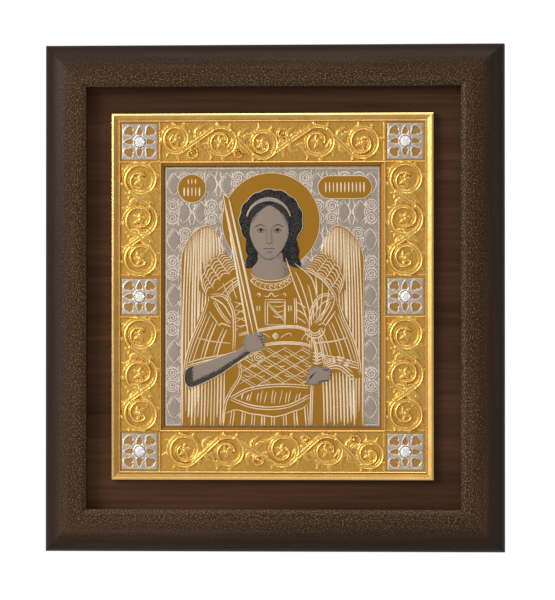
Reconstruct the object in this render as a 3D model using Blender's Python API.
"""A framed metal icon panel that hangs flat on a wall.

Four mitred wooden rails hold a dark board.  A gilded border plate lies on the board, with
a rim, a running leaf scroll in relief round its band, and a window.  A silver picture
plate with a winged figure in low relief fills the window.  Six square rosette tiles sit in
pockets of the border, and each carries one faceted stone.

Metres, +Z up.  The panel faces -Y and its back lies in the plane y = 0.  The origin is
the middle of the back, where the panel touches the wall.  "Height" below is a distance
from the wall, so a point at height h has y = -h.
"""
import math

import bmesh
import bpy
from mathutils import Vector

# Whole panel
PANEL_WIDTH = 0.205
PANEL_HEIGHT = 0.226
FIT_GAP = 0.0003  # left between two pieces that touch

# Board
BOARD_THICK = 0.0100
BOARD_MARGIN_SIDE = 0.01175  # bare board between a side rail and the border plate
BOARD_MARGIN_END = 0.0125  # the same at the top and bottom
PLATE_SHIFT = -0.00055  # the plates, tiles and stones lie this far from the middle, across
PLATE_LIFT = 0.0006  # and this far, upwards

# Rail section
RAIL_FACE = 0.0190  # outer edge to sight edge
RAIL_SIDE = 0.0075  # flat outer side, up from the wall
REBATE_WIDTH = 0.0050  # how far the board reaches behind the rail's lip
LIP_THICK = 0.0055  # the rail's edge beside the board
CREST_RISE = 0.0015  # highest line of the moulding above the sight edge
CREST_INSET = 0.0027  # that line to the sight edge
DOME_STEPS = 9  # facets from the outer side up to the crest
CREST_STEPS = 3  # facets from the crest down to the sight edge
SHARP_DEGREES = 30  # edges bent more than this stay sharp

# Border plate, widths counted inwards from its edge
RIM_LEVEL = 0.0009  # level top of the rim
RIM_SLOPE = 0.0020  # slope that falls from the rim to the bead
BEAD_WIDTH = 0.0009  # thin bead beside the band
INNER_BEAD = 0.0008  # bead round the window
WINDOW_BEVEL = 0.0014  # slope from that bead down to the picture
GROUND_THICK = 0.0017  # metal under the level ground of the band
RIM_RISE = 0.0014  # rim above the ground
SLOPE_FOOT_RISE = 0.0006  # foot of the rim's slope above the ground
BEAD_RISE = 0.0009  # both beads above the ground
POCKET_FLOOR = 0.0007  # metal left under a tile's pocket
POCKET_MARGIN = 0.00015  # ground between a pocket and the beads beside it

# Scroll relief on the band
STEM_WIDTH = 0.0017
STEM_RISE = 0.0008  # crest of a stem above the ground
SCROLL_RISE = 0.0011  # crest of a volute above the ground
VOLUTE_TAPER = 0.25  # share of its width that a volute loses on its way to the eye
EYE_RADIUS = 0.0012  # boss in the middle of a volute
SPIRAL_END = 0.0021  # radius where a volute's ridge ends, round the boss
SMALL_END = 0.385  # the same for a small curl, as a share of its radius
EYE_SIDES = 8
BOSS_TOP = 0.5  # its top as a share of its foot
TOUCHING = 0.97  # closest that two linked volutes are taken to come, as a share
LEAF_WIDTH = 0.0024
LEAF_LENGTH = 0.0062
LEAF_RISE = 0.0007
LEAF_LEAN = 0.35  # how much a leaf leans along the stem, as a share of its reach sideways
LEVEL_FIRST = 0.54  # turns that a panel's first volute keeps its full radius
LEVEL_BETWEEN = 0.22  # the same past the stem, for a volute between two others
LEVEL_LAST = 0.57
TURNS_IN = 1.0  # turns that every volute then winds inwards
TURNS_CURL = 1.2  # turns of a small curl
ROOT_DEPTH = 0.0006  # how far the relief is rooted in the plate
LAYER_STEP = 0.0000075  # keeps the faces of joined relief out of one plane
STEPS_PER_TURN = 11

# Rosette tiles and stones
TILE_SIZE = 0.0165
TILE_THICK = 0.0006
TILE_EDGE = 0.0012  # width of the tile's raised border
TILE_EDGE_RISE = 0.0006
PETAL_CLEAR = 0.0003  # between a petal's tip and the raised border
PETAL_WIDTH = 0.0046
PETAL_RISE = 0.0008
PETAL_TOP = 0.72  # its top as a share of its foot
PETAL_SIDES = 8
COLLAR_WALL = 0.0005  # ring that holds the stone
COLLAR_RISE = 0.0010
COLLAR_SIDES = 12
STONE_DIAMETER = 0.0046
STONE_TABLE = 0.0027  # across the stone's flat top
STONE_FOOT = 0.0030  # across its underside
CROWN_HEIGHT = 0.0009
GIRDLE_HEIGHT = 0.0004
PAVILION_HEIGHT = 0.0006
STONE_SIDES = 8

# Picture plate
PICTURE_THICK = 0.0012
FIGURE_RISE = 0.0008  # highest part of the figure above the plate's face
FORM_TOP = 0.985  # a raised form's top as a share of its foot
GRID_COLUMNS = 96.0  # the figure is drawn on a grid of this many units across
GRID_ROWS = 116.0  # and this many units up

# Volutes along a panel of the band: shares of its length and width, and of the band's
# width for the radius
TOP_VOLUTES = (
    (-0.424, 0.08, 0.29),
    (-0.227, 0.0, 0.33),
    (-0.044, -0.11, 0.33),
    (0.2, 0.0, 0.34),
    (0.386, -0.05, 0.34),
)
BOTTOM_VOLUTES = (
    (-0.377, 0.05, 0.36),
    (-0.201, 0.0, 0.36),
    (0.044, 0.05, 0.36),
    (0.24, 0.05, 0.34),
    (0.426, -0.13, 0.27),
)
SIDE_VOLUTES = ((-0.345, 0.0, 0.37), (0.0, 0.0, 0.39), (0.345, 0.0, 0.37))
# Small curls: the same, under the number of the stem that each grows from
TOP_CURLS = {0: (-0.355, -0.3, 0.15), 1: (-0.147, -0.3, 0.15), 2: (0.05, 0.2, 0.18)}
BOTTOM_CURLS = {1: (-0.06, -0.2, 0.17), 2: (0.149, 0.3, 0.14), 3: (0.36, 0.3, 0.17)}

TILE_NAMES = ("top_left", "top_right", "middle_left", "middle_right", "bottom_left", "bottom_right")
CORNERS = ((-1, -1), (1, -1), (1, 1), (-1, 1))

# Figure's main places on its grid, as (column, row) from the middle of the picture
HEAD = (-0.6, 33.4)
FACE = (-1.4, 28.8)
HALO_RADIUS = 22.0
FACE_WIDTH = 17.4
FACE_HEIGHT = 24.6
HAIR_WIDTH = 28.4
HAIR_HEIGHT = 28.6
MEDALLION = (-35.9, 48.3)
MEDALLION_RADIUS = 6.4
CARTOUCHE = (32.3, 48.7)
CARTOUCHE_REACH = 5.0  # from its middle to the middle of each round end
CARTOUCHE_HEIGHT = 10.4
LEFT_ELBOW = (-36.5, -36.5)
LEFT_HAND = (-8.4, -20.6)
RIGHT_ELBOW = (35.0, -30.5)
RIGHT_HAND = (20.0, -35.0)
ELBOW_WIDTH = 9.0
WRIST_WIDTH = 6.0
STAFF_TIP = (-20.7, 46.0)
STAFF_WIDTH = 2.6
WING_EDGE = 40.9
WING_SHOULDER = (
    (40.9, 12.0), (40.3, 19.0), (38.2, 24.5), (34.6, 29.0),
    (30.4, 31.5), (27.0, 31.0), (24.4, 27.5), (22.0, 21.0),
)
FEATHERS = 5
FEATHER_SPACING = 4.4
HEM_ROW = -57.2  # the row where the picture cuts off the robe and the wings

# Sizes worked out from those above
RIM_WIDTH = RIM_LEVEL + RIM_SLOPE + BEAD_WIDTH
POCKET_SIZE = TILE_SIZE + 2 * FIT_GAP
BAND_WIDTH = POCKET_SIZE + 2 * POCKET_MARGIN
INNER_WIDTH = INNER_BEAD + WINDOW_BEVEL
PLATE_WIDTH = PANEL_WIDTH - 2 * (RAIL_FACE + BOARD_MARGIN_SIDE)
PLATE_HEIGHT = PANEL_HEIGHT - 2 * (RAIL_FACE + BOARD_MARGIN_END)
WINDOW_WIDTH = PLATE_WIDTH - 2 * (RIM_WIDTH + BAND_WIDTH + INNER_WIDTH)
WINDOW_HEIGHT = PLATE_HEIGHT - 2 * (RIM_WIDTH + BAND_WIDTH + INNER_WIDTH)
PICTURE_WIDTH = WINDOW_WIDTH - 2 * FIT_GAP
PICTURE_HEIGHT = WINDOW_HEIGHT - 2 * FIT_GAP
LIP_BACK = BOARD_THICK + FIT_GAP
SIGHT_HEIGHT = LIP_BACK + LIP_THICK
CREST_HEIGHT = SIGHT_HEIGHT + CREST_RISE
PLATE_BACK = BOARD_THICK + FIT_GAP
GROUND = PLATE_BACK + GROUND_THICK
PICTURE_FACE = PLATE_BACK + PICTURE_THICK
TILE_BACK = PLATE_BACK + POCKET_FLOOR + FIT_GAP
TILE_FACE = TILE_BACK + TILE_THICK
TILE_X = PLATE_WIDTH / 2 - RIM_WIDTH - BAND_WIDTH / 2
TILE_Z = PLATE_HEIGHT / 2 - RIM_WIDTH - BAND_WIDTH / 2
END_PANEL_LENGTH = 2 * TILE_X - POCKET_SIZE
SIDE_PANEL_LENGTH = TILE_Z - POCKET_SIZE
STONE_RADIUS = STONE_DIAMETER / 2


def clear_scene():
    for item in list(bpy.data.objects):
        bpy.data.objects.remove(item, do_unlink=True)


def material(name, colour, roughness, metallic, transmission=0.0):
    """A Principled material with one colour."""
    made = bpy.data.materials.new(name)
    made.use_nodes = True
    shader = made.node_tree.nodes["Principled BSDF"]
    shader.inputs["Base Color"].default_value = (*colour, 1.0)
    shader.inputs["Roughness"].default_value = roughness
    shader.inputs["Metallic"].default_value = metallic
    shader.inputs["Transmission Weight"].default_value = transmission
    return made


def mesh_object(name, points, faces, look=None):
    """An object from points and faces, closed, with its faces pointing outwards."""
    mesh = bpy.data.meshes.new(name)
    mesh.from_pydata([tuple(p) for p in points], [], faces)
    work = bmesh.new()
    work.from_mesh(mesh)
    bmesh.ops.recalc_face_normals(work, faces=work.faces)
    work.to_mesh(mesh)
    work.free()
    made = bpy.data.objects.new(name, mesh)
    bpy.context.scene.collection.objects.link(made)
    if look:
        mesh.materials.append(look)
    return made


def ring_faces(here, there, count):
    """Quads between two rings of points, from the numbers of their first points."""
    after = [(k + 1) % count for k in range(count)]
    return [(here + k, here + after[k], there + after[k], there + k) for k in range(count)]


def box(name, width, height, low, high, centre=(0.0, 0.0), look=None):
    """A block across x and z, between two heights above the wall."""
    corners = [(centre[0] + x * width / 2, centre[1] + z * height / 2) for x, z in CORNERS]
    return prism(name, corners, low, high, look=look)


def prism(name, outline, low, high, shrink=1.0, look=None):
    """An outline in x and z, raised from low to high; shrink narrows its top."""
    count = len(outline)
    mid_x = sum(x for x, z in outline) / count
    mid_z = sum(z for x, z in outline) / count
    points = [(x, -low, z) for x, z in outline]
    points += [(mid_x + (x - mid_x) * shrink, -high, mid_z + (z - mid_z) * shrink) for x, z in outline]
    faces = [tuple(range(count)), tuple(range(count, 2 * count))]
    return mesh_object(name, points, faces + ring_faces(0, count, count), look)


def oval(centre, half_width, half_height, sides, tilt=0.0):
    """Points round an ellipse in x and z."""
    points = []
    for i in range(sides):
        angle = 2 * math.pi * i / sides
        x = half_width * math.cos(angle)
        z = half_height * math.sin(angle)
        turned_x = x * math.cos(tilt) - z * math.sin(tilt)
        turned_z = x * math.sin(tilt) + z * math.cos(tilt)
        points.append((centre[0] + turned_x, centre[1] + turned_z))
    return points


def combine(target, tools, operation):
    """Join tools to the target, or cut them from it, in one exact Boolean."""
    group = bpy.data.collections.new(f"{target.name}_{operation.lower()}_tools")
    bpy.context.scene.collection.children.link(group)
    for tool in tools:
        bpy.context.scene.collection.objects.unlink(tool)
        group.objects.link(tool)
        tool.hide_render = True
        tool.display_type = "WIRE"
    change = target.modifiers.new(operation.title(), "BOOLEAN")
    change.operand_type = "COLLECTION"
    change.collection = group
    change.operation = operation
    change.solver = "EXACT"


def rail_section():
    """Rail's cross-section as (distance in from the outer edge, height above the wall)."""
    dome = RAIL_FACE - CREST_INSET
    section = [(RAIL_FACE - REBATE_WIDTH, 0.0), (0.0, 0.0)]
    for i in range(DOME_STEPS + 1):
        angle = math.pi / 2 * i / DOME_STEPS
        inset = dome * (1 - math.cos(angle))
        section.append((inset, RAIL_SIDE + (CREST_HEIGHT - RAIL_SIDE) * math.sin(angle)))
    for i in range(1, CREST_STEPS + 1):
        share = i / CREST_STEPS
        section.append((dome + CREST_INSET * share, CREST_HEIGHT - CREST_RISE * share * share))
    section.append((RAIL_FACE, LIP_BACK))
    section.append((RAIL_FACE - REBATE_WIDTH, LIP_BACK))
    return section


def make_rail(name, length, across, turn, look):
    """One rail along x, its ends cut at 45 degrees, then turned to its side of the panel.

    across is the panel's size at right angles to the rail, and turn is in quarter turns
    about y, counted from the top rail.
    """
    section = rail_section()
    mitre_gap = FIT_GAP / math.sqrt(2)
    points = []
    for side in (-1, 1):
        for inset, height in section:
            x = side * (length / 2 - inset - mitre_gap)
            z = across / 2 - inset
            cosine = round(math.cos(turn * math.pi / 2))
            sine = round(math.sin(turn * math.pi / 2))
            points.append((x * cosine + z * sine, -height, z * cosine - x * sine))
    count = len(section)
    faces = [tuple(range(count)), tuple(range(count, 2 * count))]
    rail = mesh_object(name, points, faces + ring_faces(0, count, count), look)
    rail.data.shade_smooth()
    rail.data.set_sharp_from_angle(angle=math.radians(SHARP_DEGREES))


def make_rails(look):
    make_rail("frame_rail_top", PANEL_WIDTH, PANEL_HEIGHT, 0, look)
    make_rail("frame_rail_right", PANEL_HEIGHT, PANEL_WIDTH, 1, look)
    make_rail("frame_rail_bottom", PANEL_WIDTH, PANEL_HEIGHT, 2, look)
    make_rail("frame_rail_left", PANEL_HEIGHT, PANEL_WIDTH, 3, look)


def make_board(look):
    hidden = RAIL_FACE - REBATE_WIDTH + FIT_GAP
    box("board", PANEL_WIDTH - 2 * hidden, PANEL_HEIGHT - 2 * hidden, 0.0, BOARD_THICK, look=look)


def border_section():
    """Border plate's section as (distance in from its edge, height above the wall)."""
    slope_end = RIM_LEVEL + RIM_SLOPE
    band_end = RIM_WIDTH + BAND_WIDTH
    return [
        (0.0, PLATE_BACK),
        (0.0, GROUND + RIM_RISE),
        (RIM_LEVEL, GROUND + RIM_RISE),
        (slope_end, GROUND + SLOPE_FOOT_RISE),
        (slope_end + BEAD_WIDTH / 3, GROUND + BEAD_RISE),
        (slope_end + BEAD_WIDTH * 2 / 3, GROUND + BEAD_RISE),
        (RIM_WIDTH, GROUND),
        (band_end, GROUND),
        (band_end + INNER_BEAD / 3, GROUND + BEAD_RISE),
        (band_end + INNER_BEAD, GROUND + BEAD_RISE),
        (band_end + INNER_WIDTH, PICTURE_FACE + FIT_GAP),
        (band_end + INNER_WIDTH, PLATE_BACK),
    ]


def make_border(look):
    """The border plate: one section carried round a rectangle, then relief and pockets."""
    section = border_section()
    points = []
    for inset, height in section:
        half_width = PLATE_WIDTH / 2 - inset
        half_height = PLATE_HEIGHT / 2 - inset
        points += [(x * half_width, -height, z * half_height) for x, z in CORNERS]
    faces = []
    for i in range(len(section)):
        faces += ring_faces(4 * i, 4 * ((i + 1) % len(section)), 4)
    border = mesh_object("gold_border", points, faces, look)
    combine(border, scroll_relief(), "UNION")
    top = GROUND + RIM_RISE + SCROLL_RISE
    cutters = []
    for number, centre in enumerate(tile_centres()):
        floor = PLATE_BACK + POCKET_FLOOR
        cutters.append(box(f"pocket_cutter_{number}", POCKET_SIZE, POCKET_SIZE, floor, top, centre))
    combine(border, cutters, "DIFFERENCE")


def tile_centres():
    return [(x * TILE_X, z * TILE_Z) for z in (1, 0, -1) for x in (-1, 1)]


def ribbon(name, path, widths, rises, root):
    """A ridge with a roof-shaped section along a path of (x, z) points.

    The foot of the section is widened by its depth in the plate, so that the ridge has the
    width asked for where it leaves the ground.
    """
    points = []
    for i, here in enumerate(path):
        before = path[max(i - 1, 0)]
        after = path[min(i + 1, len(path) - 1)]
        along = (after - before).normalized()
        across = Vector((-along.y, along.x))
        half = widths[i] / 2 * (1 + root / rises[i])
        left = here + across * half
        right = here - across * half
        points.append((left.x, -(GROUND - root), left.y))
        points.append((here.x, -(GROUND + rises[i]), here.y))
        points.append((right.x, -(GROUND - root), right.y))
    faces = [(0, 1, 2), tuple(range(len(points) - 3, len(points)))]
    for i in range(len(path) - 1):
        faces += ring_faces(3 * i, 3 * i + 3, 3)
    return mesh_object(name, points, faces)


def on_circle(centre, radius, angle):
    return centre + radius * Vector((math.cos(angle), math.sin(angle)))


def crossing_link(first, first_radius, second, second_radius, hand):
    """Angles where a straight stem leaves one circle and meets the next on its other side.

    hand is 1 for a stem that goes round the first circle anticlockwise, -1 for clockwise.
    """
    gap = second - first
    reach = min(TOUCHING, (first_radius + second_radius) / gap.length)
    leaving = math.atan2(gap.y, gap.x) - hand * math.acos(reach)
    return leaving, leaving + math.pi


def volute_path(centre, radius, start, hand, level_turn, turns):
    """A path that keeps its radius for level_turn radians, then winds inwards.

    Past the level part the radius falls evenly with the angle, from the full radius to
    SPIRAL_END, or to SMALL_END times the radius of a small curl.
    """
    winding = turns * 2 * math.pi
    steps = round((level_turn + winding) / (2 * math.pi) * STEPS_PER_TURN)
    end = min(SPIRAL_END, radius * SMALL_END)
    path = []
    for i in range(steps + 1):
        turned = (level_turn + winding) * i / steps
        share = max(0.0, (turned - level_turn) / winding)
        path.append(on_circle(centre, radius + (end - radius) * share, start + hand * turned))
    return path


def volute(name, centre, radius, start, hand, level_turn, turns, number):
    """The ridge of one volute, narrower and higher towards the boss in its eye."""
    path = volute_path(centre, radius, start, hand, level_turn, turns)
    last = len(path) - 1
    root = ROOT_DEPTH + number * LAYER_STEP
    rise = SCROLL_RISE - number * LAYER_STEP
    width = min(STEM_WIDTH, radius / 3)
    widths = [width * (1.0 - VOLUTE_TAPER * i / last) for i in range(len(path))]
    rises = [STEM_RISE + (rise - STEM_RISE) * min(1.0, 3 * i / last) for i in range(len(path))]
    eye = min(EYE_RADIUS, radius / 3)
    boss = oval(centre, eye, eye, EYE_SIDES)
    boss_root = GROUND - root - LAYER_STEP / 2
    return [
        ribbon(name, path, widths, rises, root),
        prism(f"{name}_eye", boss, boss_root, GROUND + rise + LAYER_STEP / 2, BOSS_TOP),
    ]


def leaf(name, base, tip, number):
    """A pointed leaf with a raised midrib, from its base to its tip."""
    along = tip - base
    across = Vector((-along.y, along.x)).normalized() * LEAF_WIDTH / 2
    belly = base + along * 0.4
    low = GROUND - ROOT_DEPTH - number * LAYER_STEP
    high = GROUND + LEAF_RISE - number * LAYER_STEP
    points = [(p.x, -low, p.y) for p in (base, belly - across, tip, belly + across)]
    points += [(p.x, -high, p.y) for p in (base + along * 0.1, base + along * 0.7)]
    faces = [(0, 1, 2, 3), (0, 4, 1), (1, 4, 5), (1, 5, 2), (2, 5, 3), (3, 5, 4), (3, 4, 0)]
    return mesh_object(name, points, faces)


def stem_and_leaves(name, start, end, along, number):
    """A straight stem between two volutes, with a leaf on each side of its middle."""
    root = ROOT_DEPTH + (number + 0.5) * LAYER_STEP
    parts = [ribbon(f"{name}_stem", [start, end], [STEM_WIDTH] * 2, [STEM_RISE] * 2, root)]
    for side in (-1, 1):
        sideways = Vector((-along.y, along.x)) * side
        lean = along * LEAF_LEAN * side
        tip = (start + end) / 2 + (sideways + lean).normalized() * LEAF_LENGTH
        parts.append(leaf(f"{name}_leaf_{side}", (start + end) / 2, tip, number + side))
    return parts


def running_scroll(name, volutes, curls, place):
    """Volutes in a row, turning by turns left and right, on one undulating stem.

    A volute is (share along, share across, radius as a share of the band's width).  A curl
    is the same, under the number of its stem; curls turn left and right by turns too.
    """
    centres = [place(along, across) for along, across, share in volutes]
    radii = [share * BAND_WIDTH for along, across, share in volutes]
    parts = []
    middles = []
    hand = 1
    arriving = None
    last = len(centres) - 1
    for k, centre in enumerate(centres):
        label = f"{name}_{k}"
        number = len(parts)
        if k < last:
            following = centres[k + 1]
            leaving, meeting = crossing_link(centre, radii[k], following, radii[k + 1], hand)
            start = on_circle(centre, radii[k], leaving)
            end = on_circle(following, radii[k + 1], meeting)
            middles.append((start + end) / 2)
            parts += stem_and_leaves(label, start, end, (following - centre).normalized(), number)
        if k == 0:
            level = LEVEL_FIRST * 2 * math.pi
            parts += volute(label, centre, radii[k], leaving, -hand, level, TURNS_IN, number)
        elif k < last:
            level = (hand * (leaving - arriving)) % (2 * math.pi) + LEVEL_BETWEEN * 2 * math.pi
            parts += volute(label, centre, radii[k], arriving, hand, level, TURNS_IN, number)
        else:
            level = LEVEL_LAST * 2 * math.pi
            parts += volute(label, centre, radii[k], arriving, hand, level, TURNS_IN, number)
        arriving = meeting
        hand = -hand
    for stem, (along, across, share) in curls.items():
        centre = place(along, across)
        gap = middles[stem] - centre
        start = math.atan2(gap.y, gap.x)
        radius = share * BAND_WIDTH
        curl_hand = 1 if stem % 2 else -1
        parts += volute(f"{name}_curl_{stem}", centre, radius, start, curl_hand, 0.0, TURNS_CURL, len(parts))
    return parts


def scroll_relief():
    """The scroll on all six panels of the band."""
    parts = []

    def on_end(side):
        return lambda along, across: Vector((along * END_PANEL_LENGTH, side * TILE_Z + across * BAND_WIDTH))

    def on_side(x_side, z_side):
        middle = z_side * TILE_Z / 2
        return lambda along, across: Vector(
            (x_side * TILE_X + across * BAND_WIDTH, middle - along * SIDE_PANEL_LENGTH)
        )

    parts += running_scroll("scroll_top", TOP_VOLUTES, TOP_CURLS, on_end(1))
    parts += running_scroll("scroll_bottom", BOTTOM_VOLUTES, BOTTOM_CURLS, on_end(-1))
    for x_side in (-1, 1):
        for z_side in (-1, 1):
            label = f"scroll_side_{x_side}_{z_side}"
            parts += running_scroll(label, SIDE_VOLUTES, {}, on_side(x_side, z_side))
    return parts


def make_tiles(tile_look, stone_look):
    """Six rosette tiles with their stones; each kind shares one mesh."""
    first_tile = make_tile(f"rosette_tile_{TILE_NAMES[0]}", tile_look)
    first_stone = make_stone(f"stone_{TILE_NAMES[0]}", stone_look)
    for name, (x, z) in zip(TILE_NAMES, tile_centres()):
        for first in (first_tile, first_stone):
            piece = first
            if name != TILE_NAMES[0]:
                kind = first.name.removesuffix(f"_{TILE_NAMES[0]}")
                piece = bpy.data.objects.new(f"{kind}_{name}", first.data)
                bpy.context.scene.collection.objects.link(piece)
            piece.location = (x, 0.0, z)


def make_tile(name, look):
    """A square tile: raised edge, four petals and the collar of the stone."""
    half = TILE_SIZE / 2
    inner = half - TILE_EDGE
    edge_top = TILE_FACE + TILE_EDGE_RISE
    points = []
    for reach, height in ((half, TILE_BACK), (half, edge_top), (inner, edge_top), (inner, TILE_FACE)):
        points += [(x * reach, -height, z * reach) for x, z in CORNERS]
    faces = [(0, 1, 2, 3), (12, 13, 14, 15)]
    for ring in range(3):
        faces += ring_faces(4 * ring, 4 * ring + 4, 4)
    tile = mesh_object(name, points, faces, look)
    seat = STONE_RADIUS + FIT_GAP
    collar = seat + COLLAR_WALL
    root = TILE_BACK + TILE_THICK / 2
    length = inner - collar - PETAL_CLEAR + LAYER_STEP
    raised = []
    for quarter in range(4):
        angle = quarter * math.pi / 2
        centre = on_circle(Vector((0.0, 0.0)), collar + length / 2 - LAYER_STEP, angle)
        petal = oval(centre, length / 2, PETAL_WIDTH / 2, PETAL_SIDES, angle)
        raised.append(prism(f"petal_{quarter}", petal, root, TILE_FACE + PETAL_RISE, PETAL_TOP))
    ring = oval((0, 0), collar, collar, COLLAR_SIDES)
    raised.append(prism("collar_ring", ring, root - LAYER_STEP, TILE_FACE + COLLAR_RISE))
    combine(tile, raised, "UNION")
    socket = oval((0, 0), seat, seat, COLLAR_SIDES)
    combine(tile, [prism("stone_socket", socket, TILE_FACE, TILE_FACE + 2 * COLLAR_RISE)], "DIFFERENCE")
    shaped = tile.evaluated_get(bpy.context.evaluated_depsgraph_get())
    tile.data = bpy.data.meshes.new_from_object(shaped)
    tile.modifiers.clear()
    return tile


def make_stone(name, look):
    """A faceted stone: flat table, crown, girdle and a short blunt pavilion."""
    low = TILE_FACE + FIT_GAP
    rings = [
        (STONE_FOOT / 2, low, 0.5),
        (STONE_RADIUS, low + PAVILION_HEIGHT, 0.5),
        (STONE_RADIUS, low + PAVILION_HEIGHT + GIRDLE_HEIGHT, 0.5),
        (STONE_TABLE / 2, low + PAVILION_HEIGHT + GIRDLE_HEIGHT + CROWN_HEIGHT, 0.0),
    ]
    points = []
    for radius, height, offset in rings:
        for i in range(STONE_SIDES):
            angle = 2 * math.pi * (i + offset) / STONE_SIDES
            points.append((radius * math.cos(angle), -height, radius * math.sin(angle)))
    faces = [tuple(range(STONE_SIDES)), tuple(range(3 * STONE_SIDES, 4 * STONE_SIDES))]
    for ring in range(2):
        faces += ring_faces(ring * STONE_SIDES, (ring + 1) * STONE_SIDES, STONE_SIDES)
    girdle = 2 * STONE_SIDES
    table = 3 * STONE_SIDES
    for i in range(STONE_SIDES):
        after = (i + 1) % STONE_SIDES
        faces.append((girdle + i, table + after, table + i))
        faces.append((girdle + i, girdle + after, table + after))
    return mesh_object(name, points, faces, look)



def place(column, row):
    """A point of the figure's grid, counted from the middle of the picture."""
    return (column * PICTURE_WIDTH / GRID_COLUMNS, row * PICTURE_HEIGHT / GRID_ROWS)


def rim_point(centre, half_width, half_height, degrees):
    """A grid point on an ellipse."""
    angle = math.radians(degrees)
    return (centre[0] + half_width * math.cos(angle), centre[1] + half_height * math.sin(angle))


def arc(centre, half_width, half_height, start, end, steps):
    """Grid points along part of an ellipse, from one angle to another in degrees."""
    turn = (end - start) / steps
    return [rim_point(centre, half_width, half_height, start + turn * i) for i in range(steps + 1)]


def disc(centre, half_width, half_height, sides):
    return arc(centre, half_width, half_height, 0, 360 - 360 / sides, sides - 1)


def limb(start, end, start_width, end_width):
    """A tapered limb with round ends, as a grid outline."""
    angle = math.degrees(math.atan2(end[1] - start[1], end[0] - start[0]))
    points = arc(start, start_width / 2, start_width / 2, angle + 90, angle + 270, 4)
    points += arc(end, end_width / 2, end_width / 2, angle - 90, angle + 90, 4)
    return points


def wing(side):
    """One wing: high shoulder above, a straight outer edge, and a ragged row of tips."""
    shoulder = [(side * column, row) for column, row in WING_SHOULDER]
    tips = []
    for i in range(FEATHERS - 1, -1, -1):
        tips.append((side * (WING_EDGE - FEATHER_SPACING * i), HEM_ROW + 3.0 * (i % 2)))
    return shoulder + [(side * 14.0, 8.0), (side * 16.0, -20.0)] + tips


def hair():
    """Scalloped crown of hair with a lock down each side of the head."""
    crown = []
    for i in range(13):
        reach = 1.0 + 0.05 * (i % 2)
        crown.append(rim_point(HEAD, HAIR_WIDTH / 2 * reach, HAIR_HEIGHT / 2 * reach, 200 - 220 * i / 12))
    return crown + [(13.0, 20.0), (11.5, 12.5), (-10.5, 12.5), (-14.5, 20.0)]


def robe():
    """Right half of the robe from the shoulder to the hem, and the same on the left."""
    right = [(17, 9), (24, -2), (25, -20), (31, -40), (33, HEM_ROW)]
    return right + [(-column, row) for column, row in reversed(right)]


def sleeve(side):
    """A wide sleeve that hangs from the shoulder to the elbow."""
    points = [(22, 4), (15, -3), (16, -25), (29, -34), (39, -35), (40, -12), (33, -1)]
    return [(side * column, row) for column, row in points]


def bar(low, high):
    return [low, (high[0], low[1]), high, (low[0], high[1])]


def figure_forms():
    """Raised forms of the picture as (name, grid outline, share of the figure's rise)."""
    left_end = (CARTOUCHE[0] - CARTOUCHE_REACH, CARTOUCHE[1])
    right_end = (CARTOUCHE[0] + CARTOUCHE_REACH, CARTOUCHE[1])
    face = disc(FACE, FACE_WIDTH / 2, FACE_HEIGHT / 2, 18)
    return [
        ("halo", disc(HEAD, HALO_RADIUS, HALO_RADIUS, 24), 0.30),
        ("left_wing", wing(-1), 0.38),
        ("right_wing", wing(1), 0.39),
        ("medallion", disc(MEDALLION, MEDALLION_RADIUS, MEDALLION_RADIUS, 16), 0.50),
        ("cartouche", limb(left_end, right_end, CARTOUCHE_HEIGHT, CARTOUCHE_HEIGHT), 0.51),
        ("robe", robe(), 0.52),
        ("left_sleeve", sleeve(-1), 0.60),
        ("right_sleeve", sleeve(1), 0.61),
        ("skirt_panel", arc((0.5, -22), 17, 28, 180, 360, 12), 0.66),
        ("collar", arc((0, 10), 13, 10, 180, 360, 10), 0.70),
        ("hair", hair(), 0.72),
        ("belt", bar((-15.5, -22.5), (15.5, -12.5)), 0.74),
        ("neck", bar((-6.5, 6.0), (5.5, 18.0)), 0.76),
        ("chest_panel", bar((-3.5, -12.2), (6.0, -1.0)), 0.78),
        ("right_forearm", limb(RIGHT_ELBOW, RIGHT_HAND, ELBOW_WIDTH, WRIST_WIDTH), 0.80),
        ("left_forearm", limb(LEFT_ELBOW, LEFT_HAND, ELBOW_WIDTH, WRIST_WIDTH), 0.82),
        ("staff", limb(STAFF_TIP, LEFT_HAND, STAFF_WIDTH, STAFF_WIDTH), 0.86),
        ("right_hand", disc(RIGHT_HAND, 5.4, 4.0, 10), 0.90),
        ("left_hand", disc(LEFT_HAND, 4.8, 4.8, 10), 0.92),
        ("face", face, 0.94),
        ("clasp", disc((18.7, -14.0), 3.1, 3.1, 10), 0.96),
    ]


def figure_folds():
    """Straight ridges of the figure as (name, start, end, width, share of the rise)."""
    folds = [("nose", (FACE[0], FACE[1] + 3.5), (FACE[0], FACE[1] - 2.5), 2.4, 1.00)]
    for side in (-1, 1):
        for i in range(FEATHERS):
            column = side * (22.0 + FEATHER_SPACING * i)
            start = (column, 2.0 * i - 38.0)
            folds.append((f"feather_{side}_{i}", start, (column, HEM_ROW + 3.2), 2.6, 0.70))
    for i in range(-3, 4):
        start = (7.0 * i, abs(i) * 1.5 - 51.0)
        folds.append((f"robe_fold_{i}", start, (7.6 * i, HEM_ROW + 0.2), 3.0, 0.80))
    return folds


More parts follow.
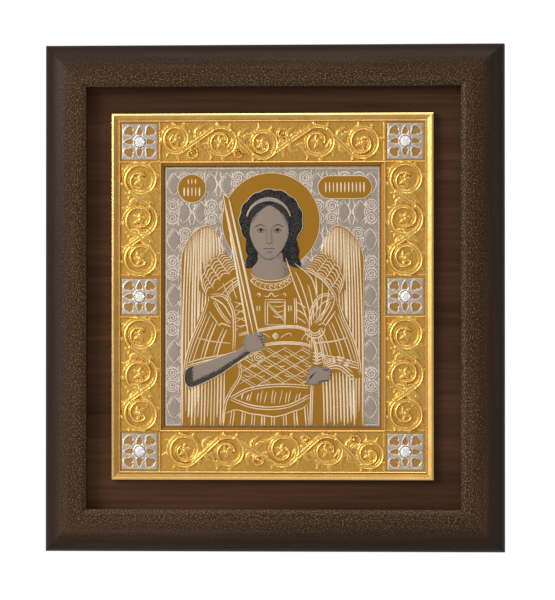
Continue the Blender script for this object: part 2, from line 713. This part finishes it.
def level(share):
    """A height above the wall, from a share of the figure's rise over the plate."""
    return PICTURE_FACE + share * FIGURE_RISE


def ridge(name, start, end, width, share):
    """A straight ridge between two grid points, its crest a little shorter than its foot."""
    first = Vector(place(*start))
    last = Vector(place(*end))
    along = (last - first).normalized()
    across = Vector((-along.y, along.x)) * width * PICTURE_WIDTH / GRID_COLUMNS / 2
    points = []
    for foot in (first, last):
        points += [(p.x, -level(0.1), p.y) for p in (foot - across, foot + across)]
    points += [(p.x, -level(share), p.y) for p in (first.lerp(last, 0.04), first.lerp(last, 0.96))]
    faces = [(0, 1, 3, 2), (0, 4, 1), (2, 3, 5), (0, 2, 5, 4), (1, 4, 5, 3)]
    return mesh_object(name, points, faces)


def make_picture(look):
    """The picture plate: a flat plate with the figure's forms raised on it."""
    plate = box("picture_plate", PICTURE_WIDTH, PICTURE_HEIGHT, PLATE_BACK, PICTURE_FACE, look=look)
    root = PLATE_BACK + PICTURE_THICK / 2
    forms = []
    for number, (name, points, share) in enumerate(figure_forms()):
        outline = [place(column, row) for column, row in points]
        forms.append(prism(name, outline, root + number * LAYER_STEP, level(share), FORM_TOP))
    forms += [ridge(*fold) for fold in figure_folds()]
    combine(plate, forms, "UNION")


def shift_plates():
    """Move all that lies on the board to its place, with the tools that shape it."""
    for piece in bpy.data.objects:
        if not piece.name.startswith(("frame_rail", "board")):
            piece.location.x += PLATE_SHIFT
            piece.location.z += PLATE_LIFT


def main():
    clear_scene()
    wood = material("dark_stained_wood", (0.045, 0.026, 0.015), 0.38, 0.0)
    board_wood = material("dark_board_wood", (0.042, 0.022, 0.012), 0.6, 0.0)
    gold = material("gilded_brass", (0.60, 0.36, 0.10), 0.3, 1.0)
    silver = material("silvered_brass", (0.52, 0.48, 0.42), 0.32, 1.0)
    crystal = material("clear_crystal", (1.0, 1.0, 1.0), 0.03, 0.0, transmission=1.0)
    make_rails(wood)
    make_board(board_wood)
    make_border(gold)
    make_tiles(silver, crystal)
    make_picture(silver)
    shift_plates()


main()
